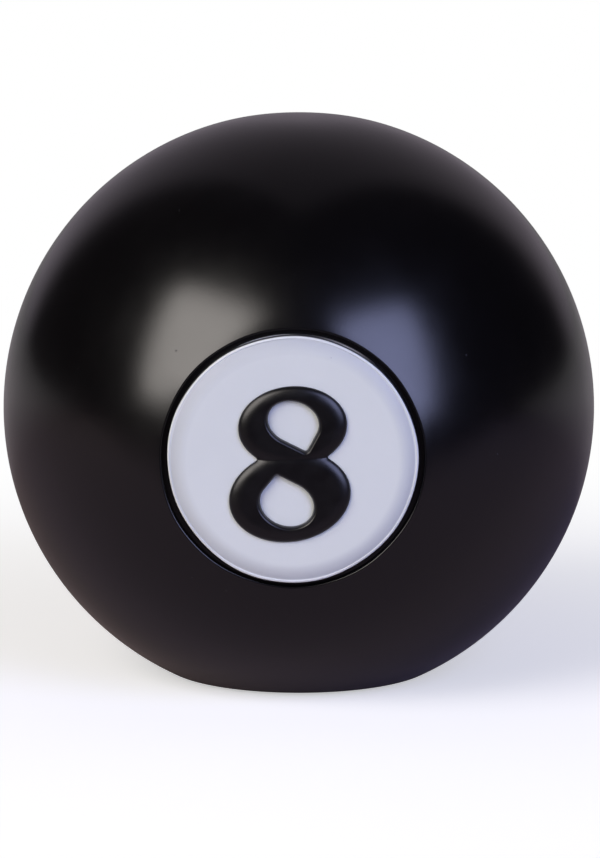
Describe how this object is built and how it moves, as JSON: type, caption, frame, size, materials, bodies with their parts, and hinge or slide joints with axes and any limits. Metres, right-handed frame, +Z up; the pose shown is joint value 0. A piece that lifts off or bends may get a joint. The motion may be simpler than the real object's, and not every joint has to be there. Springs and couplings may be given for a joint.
{
  "type": "eight-ball night light",
  "caption": "Battery night light shaped as a flat-based black ball, with a raised numeral on a white window and a battery door, switch and feet underneath.",
  "frame": {"origin": "centre of the base, on the plane that the four feet rest on", "axes": "+Z up through the middle of the ball; the numbered window faces -Y; +X is to the right of someone looking at the number"},
  "size_m": [0.165, 0.1607, 0.1568],
  "materials": {
    "shell_black": "satin black moulded vinyl",
    "window_white": "translucent white, satin",
    "numeral_black": "semi-gloss black",
    "cup_white": "bright white, satin",
    "board_white": "white solder mask",
    "led_yellow": "phosphor dome on a white body",
    "chip_black": "thick-film chip",
    "housing_black": "fine textured black",
    "door_black": "fine textured black",
    "foot_rubber": "soft matt rubber",
    "screw_steel": "zinc plated",
    "contact_nickel": "bright nickel",
    "can_steel": "bright nickel",
    "switch_board_brown": "laminated phenolic",
    "slider_black": "moulded, ridged",
    "cell_jacket": "plain gloss jacket",
    "lead_red": "PVC insulation",
    "lead_black": "PVC insulation"
  },
  "bodies": {
    "ball": {"ball_shell": "shell_black", "number_window": "window_white", "numeral": "numeral_black", "light_cup": "cup_white", "cup_screws": "screw_steel", "led_board": "board_white", "leds": "led_yellow", "resistors": "chip_black", "board_screws": "screw_steel", "base_housing": "housing_black", "base_screws": "screw_steel", "feet": "foot_rubber", "battery_left": "cell_jacket", "battery_middle": "cell_jacket", "battery_right": "cell_jacket", "battery_springs": "contact_nickel", "bridge_plates": "contact_nickel", "terminal_plates": "contact_nickel", "switch_can": "can_steel", "switch_base": "switch_board_brown", "switch_pins": "contact_nickel", "lead_positive": "lead_red", "lead_switched": "lead_red", "lead_negative": "lead_black"},
    "battery_door": {"battery_door": "door_black"},
    "door_screw_front": {"door_screw_front": "screw_steel"},
    "door_screw_back": {"door_screw_back": "screw_steel"},
    "switch_slider": {"switch_slider": "slider_black"}
  },
  "joints": [
    {"name": "switch_slide", "type": "slide", "parent": "ball", "child": "switch_slider", "axis": [0, 1, 0], "range_m": [0, 0.003]},
    {"name": "battery_door_lift", "type": "slide", "parent": "ball", "child": "battery_door", "axis": [0, 0, -1], "range_m": [0, 0.014]},
    {"name": "door_screw_front_turn", "type": "hinge", "parent": "battery_door", "child": "door_screw_front", "pos_m": [0, -0.0278, 0.0008], "axis": [0, 0, -1], "continuous": true},
    {"name": "door_screw_back_turn", "type": "hinge", "parent": "battery_door", "child": "door_screw_back", "pos_m": [0, 0.0278, 0.0008], "axis": [0, 0, -1], "continuous": true}
  ]
}
